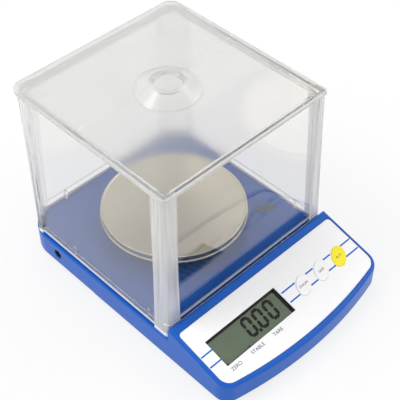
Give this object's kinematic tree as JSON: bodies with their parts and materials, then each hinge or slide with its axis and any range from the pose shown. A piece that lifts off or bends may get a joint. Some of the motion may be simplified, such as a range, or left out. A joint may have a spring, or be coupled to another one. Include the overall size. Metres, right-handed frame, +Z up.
{
  "type": "compact precision scale",
  "caption": "Compact precision scale with a round steel pan under a lift-off clear draft shield, and a sloped panel with a digital display and oval keys.",
  "frame": {"origin": "on the table, under the middle of the housing", "axes": "+Z up, -Y towards the user (the display panel faces -Y), +X to the user's right"},
  "size_m": [0.17, 0.239, 0.1649],
  "materials": {
    "blue_plastic": "moulded, satin gloss",
    "tray_plastic": "moulded, fine grain",
    "foot_rubber": "matt",
    "screw_steel": "zinc plated",
    "cell_alloy": "machined",
    "gauge_coat": "soft sealing coat",
    "carrier_alloy": "die cast",
    "support_plastic": "moulded, ribbed",
    "pad_rubber": "matt",
    "pan_steel": "brushed",
    "overlay_film": "printed film, satin",
    "clear_window": "clear, glossy",
    "frame_black": "matt black",
    "display_face": "grey-green liquid crystal display",
    "holder_plastic": "moulded",
    "contact_rubber": "layered rubber",
    "board_green": "lacquered board",
    "chip_black": "moulded",
    "plug_white": "moulded",
    "key_white": "printed, satin",
    "key_yellow": "printed, satin",
    "switch_black": "moulded",
    "plunger_white": "moulded",
    "inlet_black": "moulded",
    "inlet_pin": "plated",
    "lead_sheath": "soft sheath",
    "cell_shell": "plain sleeve",
    "contact_metal": "nickel plated",
    "clear_shield": "clear, polished"
  },
  "bodies": {
    "base": {"upper_housing": "blue_plastic", "bottom_tray": "tray_plastic", "front_left_foot": "foot_rubber", "front_right_foot": "foot_rubber", "rear_left_foot": "foot_rubber", "rear_right_foot": "foot_rubber", "case_screws": "screw_steel", "load_cell_screws": "screw_steel", "overload_stop": "screw_steel", "board_screws": "screw_steel", "load_cell": "cell_alloy", "load_cell_spacer": "cell_alloy", "strain_gauges": "gauge_coat", "front_overlay": "overlay_film", "display_window": "clear_window", "display_frame": "frame_black", "display_glass": "display_face", "display_holder": "holder_plastic", "display_contact_strips": "contact_rubber", "main_board": "board_green", "board_chips": "chip_black", "board_plugs": "plug_white", "power_switch": "switch_black", "unit_switch": "switch_black", "tare_switch": "switch_black", "power_jack": "inlet_black", "jack_pin": "inlet_pin", "load_cell_lead": "lead_sheath", "power_lead": "lead_sheath", "battery_lead": "lead_sheath", "battery_cell_1": "cell_shell", "battery_cell_2": "cell_shell", "battery_cell_3": "cell_shell", "battery_cell_4": "cell_shell", "battery_contacts": "contact_metal", "battery_springs": "contact_metal"},
    "carrier": {"pan_carrier": "carrier_alloy", "carrier_screws": "screw_steel", "pan_support": "support_plastic", "pan_pads": "pad_rubber"},
    "pan": {"weighing_pan": "pan_steel"},
    "shield": {"shield_walls": "clear_shield"},
    "lid": {"shield_lid": "clear_shield"},
    "power_button": {"power_key": "key_white", "power_switch_plunger": "plunger_white"},
    "unit_button": {"unit_key": "key_white", "unit_switch_plunger": "plunger_white"},
    "tare_button": {"tare_key": "key_yellow", "tare_switch_plunger": "plunger_white"},
    "cover": {"battery_cover": "tray_plastic"}
  },
  "joints": [
    {"name": "load_deflection", "type": "slide", "parent": "base", "child": "carrier", "axis": [0, 0, -1], "range_m": [0, 0.0004], "stiffness_N_per_m": 9800, "springref_m": -0.00013, "deforming": ["load_cell"]},
    {"name": "pan_lift", "type": "slide", "parent": "carrier", "child": "pan", "axis": [0, 0, 1], "range_m": [0, 0.06]},
    {"name": "shield_lift", "type": "slide", "parent": "base", "child": "shield", "axis": [0, 0, 1], "range_m": [0, 0.15]},
    {"name": "lid_lift", "type": "slide", "parent": "shield", "child": "lid", "axis": [0, 0, 1], "range_m": [0, 0.05]},
    {"name": "power_key_press", "type": "slide", "parent": "base", "child": "power_button", "axis": [0, 0.2588, -0.9659], "range_m": [0, 0.0005], "stiffness_N_per_m": 3200},
    {"name": "unit_key_press", "type": "slide", "parent": "base", "child": "unit_button", "axis": [0, 0.2588, -0.9659], "range_m": [0, 0.0005], "stiffness_N_per_m": 3200},
    {"name": "tare_key_press", "type": "slide", "parent": "base", "child": "tare_button", "axis": [0, 0.2588, -0.9659], "range_m": [0, 0.0005], "stiffness_N_per_m": 3200},
    {"name": "battery_cover_hinge", "type": "hinge", "parent": "base", "child": "cover", "pos_m": [0, 0.06, 0.0035], "axis": [-1, 0, 0], "range_deg": [0, 100]}
  ]
}
